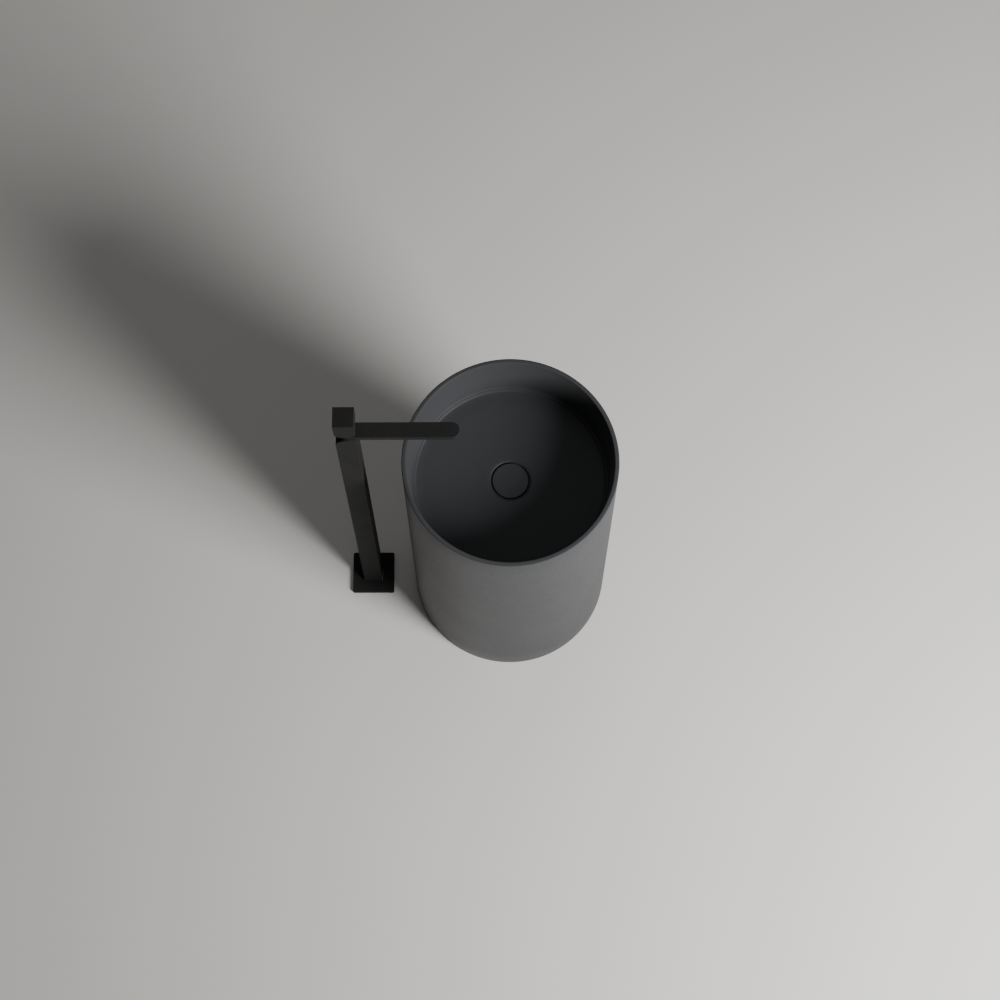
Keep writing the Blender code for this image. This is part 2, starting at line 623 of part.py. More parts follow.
pivot_at = (TC.x, TC.y, PIVOT_Z)
guide = lathe("spindle_guide", [(0.0, pz(1.0794)), (0.0105, pz(1.0794)), (0.0105, pz(1.0872)),
              (0.0, pz(1.0872))], 24, "white_plastic", pivot_at, turn_axis)
boolean(guide, cutter("guide_slot", lambda b: box_into(
    b, -0.0075, 0.0075, -0.0037, 0.0037, -0.02, 0.02), pivot_at))
boolean(guide, cutter("guide_pin_bore", lambda b: lying_cyl_into(
    b, 0.00145, -0.0150, 0.0150, "y", 0.0, 0.0, n=12), pivot_at))
lathe("spindle_pin", [(0.0, -0.0092), (0.0011, -0.0092), (0.0011, 0.0092), (0.0, 0.0092)],
      12, "steel", pivot_at, turn_axis, lay="y")
spindle = lathe("spindle", [(r, pz(z)) for r, z in (
    (0.0, 1.0757), (0.0014, 1.0759), (0.0021, 1.0765), (0.0019, 1.0775), (0.0017, 1.0790), (0.0033, 1.0805),
    (0.0033, 1.0890), (0.0, 1.0890))], 16, "steel", pivot_at, tilt_axis)
boolean(spindle, cutter("spindle_square", lambda b: box_into(
    b, -0.0032, 0.0032, -0.0032, 0.0032, pz(1.0870), pz(1.1110)), pivot_at), "UNION")
boolean(spindle, cutter("spindle_pin_bore", lambda b: lying_cyl_into(
    b, 0.00145, -0.0080, 0.0080, "y", 0.0, 0.0, n=12), pivot_at))
lathe("cartridge_nut", [
    (0.0129, 1.0725), (0.0134, 1.0725), (0.0134, 1.0788), (0.0145, 1.0788),
    (0.0145, 1.0908), (0.0138, 1.0915), (0.0085, 1.0915), (0.0085, 1.0898),
    (0.0129, 1.0898)], 24, "black", TC)

# --------------------------------------------------------------------------
# Handle block, its grub screw and plug
# --------------------------------------------------------------------------
outline = [(COL / 2, pz(KNOB_Z1)), (-COL / 2, pz(KNOB_Z1))]
outline += arc(-COL / 2 + KNOB_R, pz(KNOB_Z0) + KNOB_R, KNOB_R, 180, 270, 9)
outline += arc(COL / 2 - KNOB_R, pz(KNOB_Z0) + KNOB_R, KNOB_R, 270, 360, 9)
bm = bmesh.new()
prism(bm, outline, -COL / 2, COL / 2)
stand_up(bm)
knob = finish(bm, "handle_block", "black", pivot_at, tilt_axis, angle=30)
bevel(knob, 0.0009, 2, 50.0)
boolean(knob, cutter("knob_cavity", lambda b: cyl_into(
    b, 0.0173, pz(1.0600), pz(1.1000), n=28), pivot_at))
boolean(knob, cutter("knob_socket", lambda b: box_into(
    b, -0.0036, 0.0036, -0.0036, 0.0036, pz(1.0980), pz(1.1120)), pivot_at))
boolean(knob, cutter("knob_screw_hole", lambda b: lying_cyl_into(
    b, 0.0024, -0.0260, -0.0020, "x", 0.0, pz(1.1060), n=14), pivot_at))
lathe("grub_screw", [(0.0, -0.0185), (0.0020, -0.0185), (0.0020, -0.0040), (0.0, -0.0036)],
      12, "steel", (TC.x, TC.y, 1.1060), tilt_axis, lay="x")
lathe("grub_screw_plug", [(0.0, -0.0209), (0.0021, -0.0209), (0.0021, -0.0189), (0.0, -0.0189)],
      14, "rubber", (TC.x, TC.y, 1.1060), tilt_axis, lay="x")

# --------------------------------------------------------------------------
# Supply: hoses inside the column, from the tap body down to the floor
# --------------------------------------------------------------------------
HOSE_TOP, HOSE_END = 0.9655, 0.0004
for side, sy in (("hot", -1), ("cold", 1)):
    pts = []
    N = 18
    for i in range(N + 1):
        t = i / N
        ease = t * t * (3 - 2 * t)
        pts.append((0.0020 * math.sin(2 * math.pi * t),
                    sy * (0.0050 + 0.0042 * ease + 0.0016 * math.sin(math.pi * t)),
                    HOSE_TOP - (HOSE_TOP - HOSE_END) * t))
    hollow_tube(side + "_hose", pts, 0.0042, 0.0012, "braid", TC, sides=1)
    lathe(side + "_hose_fitting", [
        (0.0024, 0.9658), (0.0047, 0.9658), (0.0047, 0.9846), (0.0039, 0.9846),
        (0.0039, 0.9962), (0.0024, 0.9962)], 14, "brass", TC + Vector((0, sy * 0.0050, 0)))
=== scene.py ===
import json
import math
import bpy
import bmesh
from mathutils import Vector, Matrix


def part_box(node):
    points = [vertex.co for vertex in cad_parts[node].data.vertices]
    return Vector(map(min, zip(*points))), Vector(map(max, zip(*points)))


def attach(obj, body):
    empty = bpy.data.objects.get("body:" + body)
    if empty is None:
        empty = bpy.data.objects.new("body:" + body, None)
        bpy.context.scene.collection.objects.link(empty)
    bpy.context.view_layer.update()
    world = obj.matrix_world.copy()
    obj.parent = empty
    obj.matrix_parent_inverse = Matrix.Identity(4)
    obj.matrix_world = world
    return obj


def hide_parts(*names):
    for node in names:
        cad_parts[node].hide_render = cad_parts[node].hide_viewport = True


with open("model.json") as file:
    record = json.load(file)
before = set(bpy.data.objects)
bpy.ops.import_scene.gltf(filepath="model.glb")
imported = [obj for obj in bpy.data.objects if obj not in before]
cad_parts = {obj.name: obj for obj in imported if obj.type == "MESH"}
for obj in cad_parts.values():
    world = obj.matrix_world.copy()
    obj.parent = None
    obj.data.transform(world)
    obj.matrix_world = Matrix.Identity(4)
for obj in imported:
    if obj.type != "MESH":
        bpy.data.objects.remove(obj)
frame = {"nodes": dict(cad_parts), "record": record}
NODES = frame["nodes"]
REC = frame["record"]
SLOT_OF = {s["node"]: s["material_slot"] for s in REC["subparts"]}
BODY_OF = {n: b for b, ns in REC["behaviour"]["bodies"].items() for n in ns}
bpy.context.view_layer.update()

# --------------------------------------------------------------------------
# Sizes read from the frame (metres)
# --------------------------------------------------------------------------
b_lo, b_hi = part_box("basin_column")
BX, BY = (b_lo.x + b_hi.x) / 2, (b_lo.y + b_hi.y) / 2
BASIN_R = (b_hi.x - b_lo.x) / 2
BASIN_H = b_hi.z
d_lo, d_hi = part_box("drain_cover")
COVER_R = (d_hi.x - d_lo.x) / 2
COVER_Z = d_hi.z
c_lo, c_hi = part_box("tap_column")
TX, TY = (c_lo.x + c_hi.x) / 2, (c_lo.y + c_hi.y) / 2
COL = c_hi.x - c_lo.x
COL_Z0 = c_lo.z
s_lo, s_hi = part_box("spout")
SPOUT_W = s_hi.y - s_lo.y
p_lo, p_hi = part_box("tap_cover_plate")
k_lo, k_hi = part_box("handle_block")
w_lo, w_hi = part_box("waste_body")
g_lo, g_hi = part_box("cartridge_nut")
n_lo, n_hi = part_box("tap_body")

RIM_IN_R = BASIN_R - 0.0091
BOWL_R = BASIN_R - 0.0172
BOWL_Z = COVER_Z + 0.0007
SHELL_R = BASIN_R - 0.0140
DRAIN_R = COVER_R + 0.0025
ARCH_Z = 1.0330
KNOB_R = 0.018


# --------------------------------------------------------------------------
# Mesh helpers
# --------------------------------------------------------------------------
def arc(cx, cz, r, a0, a1, n):
    return [(cx + r * math.cos(math.radians(a0 + (a1 - a0) * i / n)),
             cz + r * math.sin(math.radians(a0 + (a1 - a0) * i / n))) for i in range(n + 1)]


def link(name, me):
    ob = bpy.data.objects.new(name, me)
    bpy.context.scene.collection.objects.link(ob)
    return ob


def to_object(bm, name, smooth=True, angle=30.0):
    bmesh.ops.remove_doubles(bm, verts=bm.verts, dist=1e-7)
    bmesh.ops.recalc_face_normals(bm, faces=bm.faces)
    me = bpy.data.meshes.new(name)
    bm.to_mesh(me)
    bm.free()
    if smooth:
        me.shade_smooth()
        me.set_sharp_from_angle(angle=math.radians(angle))
    return link(name, me)


def spin(bm, pts, segs):
    on_axis = pts[0][0] < 1e-9 and pts[-1][0] < 1e-9
    vs = [bm.verts.new((r, 0.0, z)) for r, z in pts]
    es = [bm.edges.new((vs[i], vs[i + 1])) for i in range(len(vs) - 1)]
    if not on_axis:
        es.append(bm.edges.new((vs[-1], vs[0])))
    bmesh.ops.spin(bm, geom=vs + es, cent=(0, 0, 0), axis=(0, 0, 1), angle=2 * math.pi,
                   steps=segs, use_merge=True, use_duplicate=False)
    bmesh.ops.remove_doubles(bm, verts=bm.verts, dist=1e-6)
    bmesh.ops.dissolve_degenerate(bm, dist=1e-7, edges=bm.edges)


def lathe(name, pts, segs, at, angle=30.0):
    bm = bmesh.new()
    spin(bm, pts, segs)
    bmesh.ops.translate(bm, verts=bm.verts, vec=at)
    return to_object(bm, name, angle=angle)


def prism(bm, outline, z0, z1):
    face = bm.faces.new([bm.verts.new((x, y, z0)) for x, y in outline])
    out = bmesh.ops.extrude_face_region(bm, geom=[face])
    up = [g for g in out["geom"] if isinstance(g, bmesh.types.BMVert)]
    bmesh.ops.translate(bm, verts=up, vec=(0, 0, z1 - z0))


def stand(bm):
    for v in bm.verts:
        v.co = Vector((v.co.x, -v.co.z, v.co.y))


def circle(n, r, x=0.0, y=0.0):
    return [(x + r * math.cos(2 * math.pi * i / n), y + r * math.sin(2 * math.pi * i / n)) for i in range(n)]


def cut(ob, build, at, op="DIFFERENCE"):
    """Boolean with a tool made by build, then baked into the mesh."""
    bm = bmesh.new()
    build(bm)
    bmesh.ops.translate(bm, verts=bm.verts, vec=at)
    bmesh.ops.recalc_face_normals(bm, faces=bm.faces)
    me = bpy.data.meshes.new("tool")
    bm.to_mesh(me)
    bm.free()
    tool = link("tool", me)
    m = ob.modifiers.new("cut", "BOOLEAN")
    m.operation = op
    m.solver = "EXACT"
    m.object = tool
    bake(ob)
    bpy.data.objects.remove(tool)
    bpy.data.meshes.remove(me)


def bake(ob):
    bpy.context.view_layer.update()
    dg = bpy.context.evaluated_depsgraph_get()
    me = bpy.data.meshes.new_from_object(ob.evaluated_get(dg))
    old = ob.data
    me.name = ob.name
    ob.modifiers.clear()
    ob.data = me
    bpy.data.meshes.remove(old)


def round_edges(ob, width, segs=4, limit=45.0):
    m = ob.modifiers.new("round", "BEVEL")
    m.width = width
    m.segments = segs
    m.limit_method = "ANGLE"
    m.angle_limit = math.radians(limit)
    bake(ob)


def tidy_normals(ob, angle=30.0):
    """Smooth shading whose flat faces stay flat beside their rounded edges."""
    ob.data.shade_smooth()
    ob.data.set_sharp_from_angle(angle=math.radians(angle))
    m = ob.modifiers.new("weighted", "WEIGHTED_NORMAL")
    m.keep_sharp = True
    m.weight = 80
    bake(ob)


# --------------------------------------------------------------------------
# Node materials
# --------------------------------------------------------------------------
def node(nt, kind, loc=(0, 0), **sets):
    n = nt.nodes.new(kind)
    n.location = loc
    for k, v in sets.items():
        if k in n.inputs:
            n.inputs[k].default_value = v
        else:
            setattr(n, k, v)
    return n


def surface(name, base, rough, metal=0.0, tint=0.06, grain=900.0, grain_h=0.00006,
            broad=14.0, rough_var=0.06, speckle=0.0, edge=0.0, edge_r=0.0012, smudge=0.0,
            coat=0.0, spec=None, peel=0.0, brushed=None, sheen=0.0, sheen_rough=0.5):
    """One finished surface: fine grain in bump and roughness, broad and fine
    colour drift, optional speckle and lighter edges: rubbed wear, and where set strong also a painted
    highlight."""
    m = bpy.data.materials.new(name)
    m.use_nodes = True
    nt = m.node_tree
    b = nt.nodes["Principled BSDF"]
    L = nt.links.new
    b.inputs["Metallic"].default_value = metal
    if coat:
        b.inputs["Coat Weight"].default_value = coat
        b.inputs["Coat Roughness"].default_value = 0.12
    if spec is not None:
        b.inputs["Specular IOR Level"].default_value = spec
    if sheen:
        b.inputs["Sheen Weight"].default_value = sheen
        b.inputs["Sheen Roughness"].default_value = sheen_rough
    tc = node(nt, "ShaderNodeTexCoord", (-1500, 0))
    pos = tc.outputs["Object"]
    if brushed is not None:
        mp = node(nt, "ShaderNodeMapping", (-1320, -200))
        mp.inputs["Scale"].default_value = brushed
        L(pos, mp.inputs["Vector"])
        fine_pos = mp.outputs["Vector"]
    else:
        fine_pos = pos
    big = node(nt, "ShaderNodeTexNoise", (-1100, 300), Scale=broad, Detail=4.0, Roughness=0.55)
    L(pos, big.inputs["Vector"])
    fine = node(nt, "ShaderNodeTexNoise", (-1100, 0), Scale=grain, Detail=5.0, Roughness=0.62)
    L(fine_pos, fine.inputs["Vector"])
    mid = node(nt, "ShaderNodeTexNoise", (-1100, -300), Scale=grain * 0.11, Detail=3.0, Roughness=0.5)
    L(fine_pos, mid.inputs["Vector"])

    dark = tuple(c * (1 - tint) for c in base) + (1.0,)
    lite = tuple(min(1.0, c * (1 + tint)) for c in base) + (1.0,)
    ramp = node(nt, "ShaderNodeValToRGB", (-800, 300))
    ramp.color_ramp.elements[0].position = 0.30
    ramp.color_ramp.elements[1].position = 0.70
    ramp.color_ramp.elements[0].color = dark
    ramp.color_ramp.elements[1].color = lite
    L(big.outputs["Fac"], ramp.inputs["Fac"])
    col = ramp.outputs["Color"]

    fr = node(nt, "ShaderNodeValToRGB", (-800, 60))
    fr.color_ramp.elements[0].position = 0.25
    fr.color_ramp.elements[1].position = 0.75
    g0, g1 = 1 - tint * 1.1, 1 + tint * 1.1
    fr.color_ramp.elements[0].color = (g0, g0, g0, 1)
    fr.color_ramp.elements[1].color = (g1, g1, g1, 1)
    L(fine.outputs["Fac"], fr.inputs["Fac"])
    mul = node(nt, "ShaderNodeMix", (-520, 220), data_type="RGBA", blend_type="MULTIPLY")
    mul.inputs[0].default_value = 1.0
    L(col, mul.inputs[6])
    L(fr.outputs["Color"], mul.inputs[7])
    col = mul.outputs[2]

    if speckle > 0:
        vor = node(nt, "ShaderNodeTexVoronoi", (-1100, 560), Scale=grain * 0.55)
        L(pos, vor.inputs["Vector"])
        sp = node(nt, "ShaderNodeValToRGB", (-800, 560))
        sp.color_ramp.elements[0].position = 0.05
        sp.color_ramp.elements[0].color = (1, 1, 1, 1)
        sp.color_ramp.elements[1].position = 0.16
        sp.color_ramp.elements[1].color = (0, 0, 0, 1)
        L(vor.outputs["Distance"], sp.inputs["Fac"])
        rnd = node(nt, "ShaderNodeSeparateColor", (-800, 760))
        L(vor.outputs["Color"], rnd.inputs[0])
        gate = node(nt, "ShaderNodeMath", (-620, 760), operation="GREATER_THAN")
        gate.inputs[1].default_value = 0.72
        L(rnd.outputs[0], gate.inputs[0])
        amt = node(nt, "ShaderNodeMath", (-440, 640), operation="MULTIPLY")
        L(gate.outputs[0], amt.inputs[0])
        L(sp.outputs["Color"], amt.inputs[1])
        amt2 = node(nt, "ShaderNodeMath", (-300, 640), operation="MULTIPLY")
        amt2.inputs[1].default_value = speckle
        L(amt.outputs[0], amt2.inputs[0])
        spm = node(nt, "ShaderNodeMix", (-260, 360), data_type="RGBA", blend_type="MIX")
        L(amt2.outputs[0], spm.inputs[0])
        L(col, spm.inputs[6])
        spm.inputs[7].default_value = tuple(min(1.0, c * 2.2 + 0.02) for c in base) + (1.0,)
        col = spm.outputs[2]

    # Lighter colour on rounded edges from the bevel mask: rubbed wear; at high strength (black tap coat) it is
    # also a painted highlight on the edges
    if edge > 0:
        bev = node(nt, "ShaderNodeBevel", (-1100, 900), Radius=edge_r)
        bev.samples = 4
        geo = node(nt, "ShaderNodeNewGeometry", (-1100, 1060))
        dot = node(nt, "ShaderNodeVectorMath", (-900, 960), operation="DOT_PRODUCT")
        L(bev.outputs["Normal"], dot.inputs[0])
        L(geo.outputs["Normal"], dot.inputs[1])
        er = node(nt, "ShaderNodeMapRange", (-720, 960))
        er.inputs["From Min"].default_value = 0.995
        er.inputs["From Max"].default_value = 0.90
        er.inputs["To Min"].default_value = 0.0
        er.inputs["To Max"].default_value = 1.0
        L(dot.outputs["Value"], er.inputs["Value"])
        brk = node(nt, "ShaderNodeMath", (-540, 960), operation="MULTIPLY")
        L(er.outputs["Result"], brk.inputs[0])
        L(mid.outputs["Fac"], brk.inputs[1])
        brk2 = node(nt, "ShaderNodeMath", (-380, 960), operation="MULTIPLY")
        brk2.inputs[1].default_value = edge
        L(brk.outputs[0], brk2.inputs[0])
        em = node(nt, "ShaderNodeMix", (-60, 360), data_type="RGBA", blend_type="MIX")
        L(brk2.outputs[0], em.inputs[0])
        L(col, em.inputs[6])
        em.inputs[7].default_value = tuple(min(1.0, c * 2.6 + 0.03) for c in base) + (1.0,)
        col = em.outputs[2]
    L(col, b.inputs["Base Color"])

    rr = node(nt, "ShaderNodeMapRange", (-520, -60))
    rr.inputs["From Min"].default_value = 0.3
    rr.inputs["From Max"].default_value = 0.7
    rr.inputs["To Min"].default_value = max(0.02, rough - rough_var)
    rr.inputs["To Max"].default_value = min(1.0, rough + rough_var)
    L(mid.outputs["Fac"], rr.inputs["Value"])
    rsrc = rr.outputs["Result"]
    if smudge > 0:
        sn = node(nt, "ShaderNodeTexNoise", (-1100, -520), Scale=6.5, Detail=6.0, Roughness=0.65)
        L(pos, sn.inputs["Vector"])
        sr = node(nt, "ShaderNodeMapRange", (-800, -520))
        sr.inputs["From Min"].default_value = 0.42
        sr.inputs["From Max"].default_value = 0.66
        sr.inputs["To Min"].default_value = -smudge
        sr.inputs["To Max"].default_value = smudge
        L(sn.outputs["Fac"], sr.inputs["Value"])
        ad = node(nt, "ShaderNodeMath", (-300, -140), operation="ADD")
        L(rsrc, ad.inputs[0])
        L(sr.outputs["Result"], ad.inputs[1])
        rsrc = ad.outputs[0]
    L(rsrc, b.inputs["Roughness"])

    bump = node(nt, "ShaderNodeBump", (-300, -360), Strength=1.0, Distance=grain_h)
    L(fine.outputs["Fac"], bump.inputs["Height"])
    nrm = bump.outputs["Normal"]
    if peel > 0:
        pl = node(nt, "ShaderNodeTexNoise", (-1100, -760), Scale=230.0, Detail=2.0, Roughness=0.4)
        L(pos, pl.inputs["Vector"])
        b2 = node(nt, "ShaderNodeBump", (-120, -520), Strength=1.0, Distance=peel)
        L(pl.outputs["Fac"], b2.inputs["Height"])
        L(nrm, b2.inputs["Normal"])
        nrm = b2.outputs["Normal"]
    L(nrm, b.inputs["Normal"])
    return m


BASIN = (0.0395, 0.0416, 0.0453)
BLACK = (0.0185, 0.0185, 0.0185)
LOOKS = {
    "basin_ceramic": surface("matt_anthracite", BASIN, 0.46, tint=0.035, grain=1150.0, grain_h=0.000030,
                             broad=9.0, rough_var=0.025, speckle=0.16, edge=0.16, edge_r=0.0016,
                             smudge=0.012, peel=0.00004, spec=0.09, sheen=0.04, sheen_rough=0.40),
    # edge=0.55 paints a highlight on the tap's rounded edges, on top of light rubbed wear
    "tap_black": surface("matt_black_coat", BLACK, 0.42, metal=0.0, tint=0.08, grain=1900.0,
                         grain_h=0.000018, broad=22.0, rough_var=0.04, edge=0.55, edge_r=0.0012,
                         smudge=0.02, peel=0.00003, spec=0.006),
    "brass": surface("machined_brass", (0.62, 0.44, 0.17), 0.30, metal=1.0, tint=0.10, grain=420.0,
                     grain_h=0.00003, broad=30.0, rough_var=0.10, edge=0.35, brushed=(1.0, 1.0, 14.0)),
    "steel": surface("brushed_steel", (0.56, 0.57, 0.58), 0.34, metal=1.0, tint=0.07, grain=380.0,
                     grain_h=0.00003, broad=30.0, rough_var=0.10, edge=0.3, brushed=(14.0, 1.0, 1.0)),
    "chrome": surface("chromed_brass", (0.74, 0.75, 0.77), 0.12, metal=1.0, tint=0.03, grain=700.0,
                      grain_h=0.000004, broad=16.0, rough_var=0.05, smudge=0.05, edge=0.15),
    "rubber": surface("moulded_rubber", (0.022, 0.022, 0.023), 0.82, tint=0.18, grain=1500.0,
                      grain_h=0.00006, broad=40.0, rough_var=0.08, edge=0.25),
    "white_plastic": surface("white_moulding", (0.72, 0.72, 0.69), 0.46, tint=0.03, grain=1400.0,
                             grain_h=0.00002, broad=40.0, rough_var=0.06, edge=0.1, peel=0.00002),
    "grey_plastic": surface("grey_moulding", (0.30, 0.31, 0.32), 0.48, tint=0.05, grain=1400.0,
                            grain_h=0.00002, broad=40.0, rough_var=0.06, edge=0.1, peel=0.00002),
    "disc_ceramic": surface("lapped_alumina", (0.84, 0.83, 0.79), 0.16, tint=0.03, grain=2400.0,
                            grain_h=0.00001, broad=60.0, rough_var=0.05, speckle=0.10),
}


def braid_look():
    """Steel braid: two crossing sets of fine ridges wound round the hose."""
    m = surface("hose_braid", (0.46, 0.47, 0.48), 0.34, metal=1.0, tint=0.12, grain=900.0,
                grain_h=0.00002, broad=50.0, rough_var=0.1)
    nt = m.node_tree
    L = nt.links.new
    b = nt.nodes["Principled BSDF"]
    tc = node(nt, "ShaderNodeTexCoord", (-1500, -900))
    last = b.inputs["Normal"].links[0].from_socket
    for k, s in enumerate((1.0, -1.0)):
        mp = node(nt, "ShaderNodeMapping", (-1300, -900 - 220 * k))
        mp.inputs["Rotation"].default_value = (0.0, s * math.radians(38), 0.0)
        L(tc.outputs["Object"], mp.inputs["Vector"])
        wv = node(nt, "ShaderNodeTexWave", (-1100, -900 - 220 * k), Scale=190.0)
        wv.wave_type = "BANDS"
        wv.bands_direction = "Z"
        L(mp.outputs["Vector"], wv.inputs["Vector"])
        bp = node(nt, "ShaderNodeBump", (-800, -900 - 220 * k), Strength=1.0, Distance=0.0003)
        L(wv.outputs["Fac"], bp.inputs["Height"])
        L(last, bp.inputs["Normal"])
        last = bp.outputs["Normal"]
    L(last, b.inputs["Normal"])
    return m


LOOKS["hose_braid"] = braid_look()


def wear(ob, slot):
    ob.data.materials.clear()
    ob.data.materials.append(LOOKS[slot])
    return ob


def settle(ob, stands_for):
    """A finished visual piece takes over from its CAD node."""
    slot = SLOT_OF[stands_for]
    wear(ob, slot)
    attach(ob, BODY_OF[stands_for])
    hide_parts(stands_for)
    return ob


# --------------------------------------------------------------------------
# Basin column
# --------------------------------------------------------------------------
SEG = 192
floor_mid = BOWL_Z - 0.0007
pts = arc(BASIN_R - 0.0012, 0.0012, 0.0012, -90, 0, 4)
for i in range(1, 12):
    pts.append((BASIN_R, 0.0012 + (BASIN_H - 0.0034) * i / 12))
pts += arc(BASIN_R - 0.0022, BASIN_H - 0.0022, 0.0022, 0, 90, 8)
pts += arc(RIM_IN_R + 0.0015, BASIN_H - 0.0015, 0.0015, 90, 180, 6)
wall_top, wall_foot = (RIM_IN_R, BASIN_H - 0.0015), (BOWL_R, 0.7292)
for i in range(1, 6):
    t = i / 6
    pts.append((wall_top[0] + (wall_foot[0] - wall_top[0]) * t, wall_top[1] + (wall_foot[1] - wall_top[1]) * t))
pts += [wall_foot, (BOWL_R - 0.0002, 0.7281), (BOWL_R - 0.0006, 0.7272), (BOWL_R - 0.0012, 0.7264),
        (BOWL_R - 0.0019, 0.7257), (BOWL_R - 0.0028, 0.7252), (BOWL_R - 0.0037, 0.7250),
        (BOWL_R - 0.0045, 0.7249), (BOWL_R - 0.0052, 0.7245), (BOWL_R - 0.0057, 0.7238),
        (BOWL_R - 0.0062, 0.7229), (BOWL_R - 0.0066, 0.7221), (BOWL_R - 0.0072, 0.7213),
        (BOWL_R - 0.0083, 0.7206), (BOWL_R - 0.0098, BOWL_Z)]
for r in (0.180, 0.150, 0.120, 0.090, 0.070):
    t = (0.1955 - r) / (0.1955 - 0.060)
    pts.append((r, BOWL_Z + (floor_mid - BOWL_Z) * t))
pts += [(0.060, floor_mid), (0.052, floor_mid), (DRAIN_R + 0.0066, floor_mid - 0.0001)]
pts += [(DRAIN_R + 0.0048, floor_mid - 0.0004), (DRAIN_R + 0.0033, floor_mid - 0.0009),
        (DRAIN_R + 0.0020, floor_mid - 0.0016), (DRAIN_R + 0.0010, floor_mid - 0.0024),
        (DRAIN_R + 0.0004, floor_mid - 0.0033), (DRAIN_R, floor_mid - 0.0044)]
pts += [(DRAIN_R, 0.7095), (0.023, 0.7095), (0.023, 0.6975), (0.056, 0.6975), (0.060, 0.7005),
        (0.064, 0.7040), (0.126, 0.7050), (0.188, 0.7060)]
pts += [(0.1985, 0.7035), (0.2030, 0.7005), (0.2055, 0.6970), (0.2075, 0.6925), (SHELL_R, 0.6870)]
for i in range(1, 8):
    pts.append((SHELL_R, 0.6870 - 0.6860 * i / 8))
pts += [(SHELL_R, 0.0)]
basin = lathe("basin_shell", pts, SEG, (BX, BY, 0.0), angle=40.0)
settle(basin, "basin_column")

# --------------------------------------------------------------------------
# Drain cover
# --------------------------------------------------------------------------
pts = [(0.0, COVER_Z)] + [(r, COVER_Z) for r in (0.008, 0.016, 0.024, 0.031)]
pts += list(reversed(arc(COVER_R - 0.0012, COVER_Z - 0.0012, 0.0012, 0, 90, 7)))
pts += [(COVER_R, 0.7155), (COVER_R, 0.7130), (COVER_R - 0.0001, 0.7128), (COVER_R - 0.0004, 0.7126)]
pts += [(0.0346, 0.7126), (0.0346, 0.7166),
        (0.0070, 0.7166), (0.0070, 0.7105), (0.0033, 0.7105), (0.0033, 0.7158), (0.0, 0.7158)]
cover = lathe("drain_cap", pts, 128, (BX, BY, 0.0), angle=40.0)
settle(cover, "drain_cover")

# --------------------------------------------------------------------------
# Tap: cover plate, column, spout and handle block with finely rounded edges
# --------------------------------------------------------------------------
TAT = (TX, TY, 0.0)
EDGE = 0.0009


def rounded_square(side, r, steps):
    h = side / 2 - r
    out = []
    for k, (sx, sy) in enumerate(((1, 1), (-1, 1), (-1, -1), (1, -1))):
        for i in range(steps + 1):
            a = math.pi / 2 * (k + i / steps)
            out.append((sx * h + r * math.cos(a), sy * h + r * math.sin(a)))
    return out


bm = bmesh.new()
prism(bm, rounded_square(p_hi.x - p_lo.x, 0.004, 10), 0.0, p_hi.z)
bmesh.ops.translate(bm, verts=bm.verts, vec=TAT)
plate = to_object(bm, "floor_plate")
round_edges(plate, EDGE, 4, 50)
H = COL / 2


def square(b, h, z0, z1):
    prism(b, [(-h, -h), (h, -h), (h, h), (-h, h)], z0, z1)


cut(plate, lambda b: square(b, 0.0450, -0.004, 0.0076), TAT)
cut(plate, lambda b: square(b, H + 0.0004, 0.002, 0.014), TAT)
tidy_normals(plate)
settle(plate, "tap_cover_plate")

bm = bmesh.new()
prism(bm, [(-H, COL_Z0), (H, COL_Z0)] + arc(0.0, ARCH_Z, H, 0, 180, 72), -H, H)
stand(bm)
bmesh.ops.translate(bm, verts=bm.verts, vec=TAT)
column = to_object(bm, "tap_riser")
round_edges(column, EDGE, 4, 50)
cut(column, lambda b: square(b, 0.0185, -0.01, 1.0200), TAT)
cut(column, lambda b: prism(b, [(-0.03, -SPOUT_W / 2 - 0.0003), (0.03, -SPOUT_W / 2 - 0.0003),
                                (0.03, SPOUT_W / 2 + 0.0003), (-0.03, SPOUT_W / 2 + 0.0003)],
                            s_lo.z - 0.0003, 1.08), TAT)
cut(column, lambda b: prism(b, circle(64, 0.0104), 1.016, 1.07), TAT)
tidy_normals(column)
settle(column, "tap_column")

half = SPOUT_W / 2
reach = s_hi.x - TX
outline = arc(reach - half, 0.0, half, -90, 90, 48) + arc(0.0, 0.0, half, 90, 270, 48)
bm = bmesh.new()
prism(bm, outline, s_lo.z, s_hi.z)
bmesh.ops.translate(bm, verts=bm.verts, vec=TAT)
spout = to_object(bm, "tap_spout")
round_edges(spout, EDGE, 4, 50)
a_lo, a_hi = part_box("aerator_housing")
AX = (a_lo.x + a_hi.x) / 2 - TX
cut(spout, lambda b: prism(b, circle(64, 0.0104), 1.04, 1.07), TAT)
cut(spout, lambda b: prism(b, [(0.008, -0.009), (AX - 0.003, -0.009), (AX - 0.003, 0.009), (0.008, 0.009)],
                           1.0518, 1.0582), TAT)
cut(spout, lambda b: prism(b, circle(64, 0.0084, AX, 0.0), 1.04, 1.0582), TAT)
tidy_normals(spout)
settle(spout, "spout")

pz0, pz1 = k_lo.z, k_hi.z
outline = [(H, pz1), (-H, pz1)]
outline += arc(-H + KNOB_R, pz0 + KNOB_R, KNOB_R, 180, 270, 28)
outline += arc(H - KNOB_R, pz0 + KNOB_R, KNOB_R, 270, 360, 28)
bm = bmesh.new()
prism(bm, outline, -H, H)
stand(bm)
bmesh.ops.translate(bm, verts=bm.verts, vec=TAT)
knob = to_object(bm, "handle_knob")
round_edges(knob, EDGE, 4, 50)
cut(knob, lambda b: prism(b, circle(72, 0.0173), 1.0600, 1.1000), TAT)
cut(knob, lambda b: square(b, 0.0036, 1.0980, 1.1120), TAT)


def side_hole(b):
    prism(b, circle(32, 0.0024), -0.0260, -0.0020)
    for v in b.verts:
        v.co = Vector((v.co.z, v.co.x, v.co.y + 1.1060))


cut(knob, side_hole, TAT)
tidy_normals(knob)
settle(knob, "handle_block")

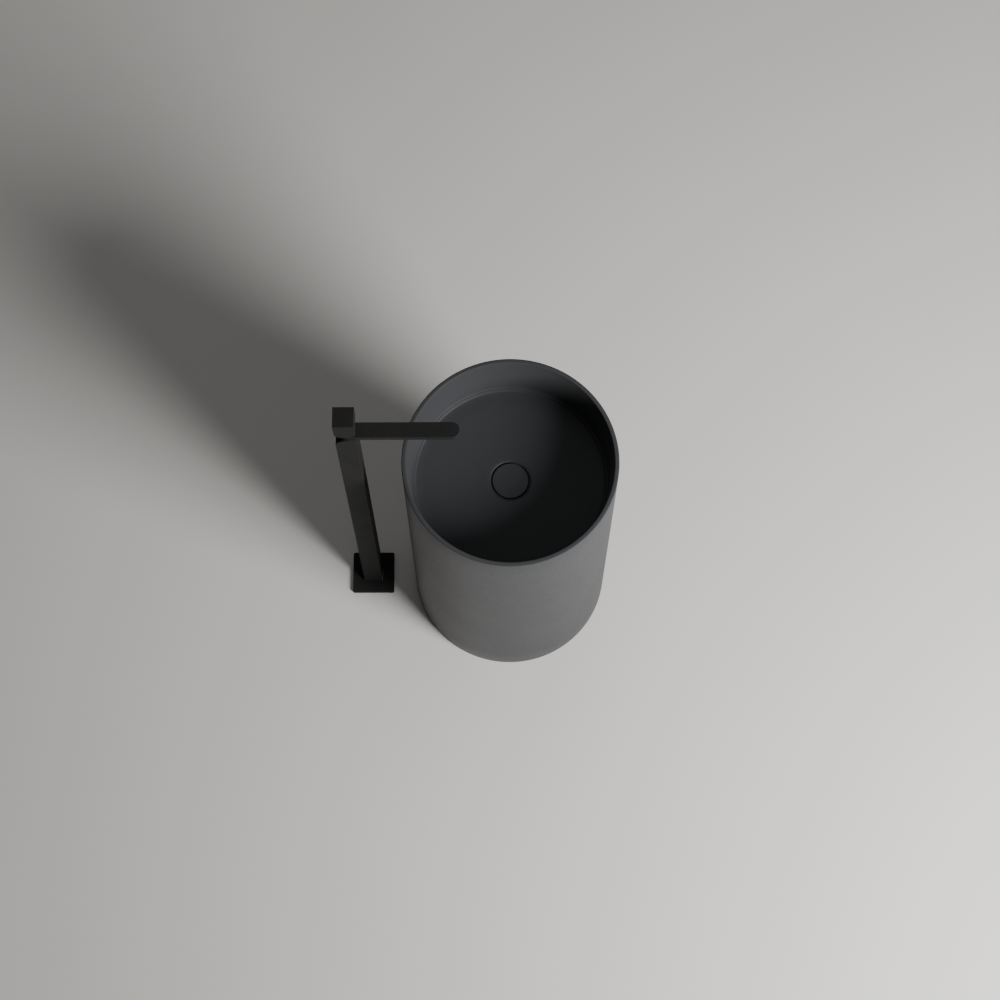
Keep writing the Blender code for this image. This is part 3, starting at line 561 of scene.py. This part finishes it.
# --------------------------------------------------------------------------
# Every CAD node that stays gets its slot's surface
# --------------------------------------------------------------------------
for name, ob in NODES.items():
    wear(ob, SLOT_OF[name])

# --------------------------------------------------------------------------
# Floor, light and camera
# --------------------------------------------------------------------------
bm = bmesh.new()
bmesh.ops.create_grid(bm, x_segments=8, y_segments=8, size=9.0)
floor = to_object(bm, "studio_floor", smooth=False)
floor.location = (0, 0, -0.0002)
floor.data.materials.append(surface("floor_paint", (0.60, 0.592, 0.575), 0.62, tint=0.012, grain=260.0,
                                    grain_h=0.00004, broad=1.2, rough_var=0.04, spec=0.3))

world = bpy.data.worlds.new("studio")
world.use_nodes = True
bg = world.node_tree.nodes["Background"]
bg.inputs["Color"].default_value = (1.0, 0.985, 0.965, 1.0)
bg.inputs["Strength"].default_value = 0.112
bpy.context.scene.world = world


def area(name, at, to, size, watts, colour=(1, 1, 1)):
    li = bpy.data.lights.new(name, "AREA")
    li.shape = "DISK"
    li.size = size
    li.energy = watts
    li.color = colour
    ob = bpy.data.objects.new(name, li)
    bpy.context.scene.collection.objects.link(ob)
    ob.location = at
    ob.rotation_euler = (Vector(to) - Vector(at)).to_track_quat("-Z", "Y").to_euler()
    return ob


AZ, EL, DIST = math.radians(-39.0), math.radians(37.0), 3.8
key = (BX + DIST * math.cos(EL) * math.cos(AZ), DIST * math.cos(EL) * math.sin(AZ), DIST * math.sin(EL))
area("key", key, (BX + 1.0, 1.5, 0.0), 1.75, 298.0, (1.0, 0.985, 0.965))

top = (BX, 0.29 * 5.2, 0.85 + 0.956 * 5.2)
area("overhead", top, (BX, 0, 0.85), 2.2, 22.0, (1.0, 1.0, 1.0))

PITCH, ROLL, FOCAL = math.radians(72.986), math.radians(-0.264), 2354.29
CAM = Vector((-0.02163 + BX, -1.47912, 5.41367))
F = Vector((0, math.cos(PITCH), -math.sin(PITCH)))
U = Vector((0, math.sin(PITCH), math.cos(PITCH)))
Rt = Vector((1, 0, 0))
Rr = math.cos(ROLL) * Rt + math.sin(ROLL) * U
Ur = -math.sin(ROLL) * Rt + math.cos(ROLL) * U
cam = bpy.data.cameras.new("camera")
cam.sensor_width = 36.0
cam.lens = FOCAL * 36.0 / 1000.0
cam.clip_start, cam.clip_end = 0.05, 60.0
cam_ob = bpy.data.objects.new("camera", cam)
bpy.context.scene.collection.objects.link(cam_ob)
cam_ob.matrix_world = Matrix(((Rr.x, Ur.x, -F.x, CAM.x), (Rr.y, Ur.y, -F.y, CAM.y),
                              (Rr.z, Ur.z, -F.z, CAM.z), (0, 0, 0, 1)))
bpy.context.scene.camera = cam_ob
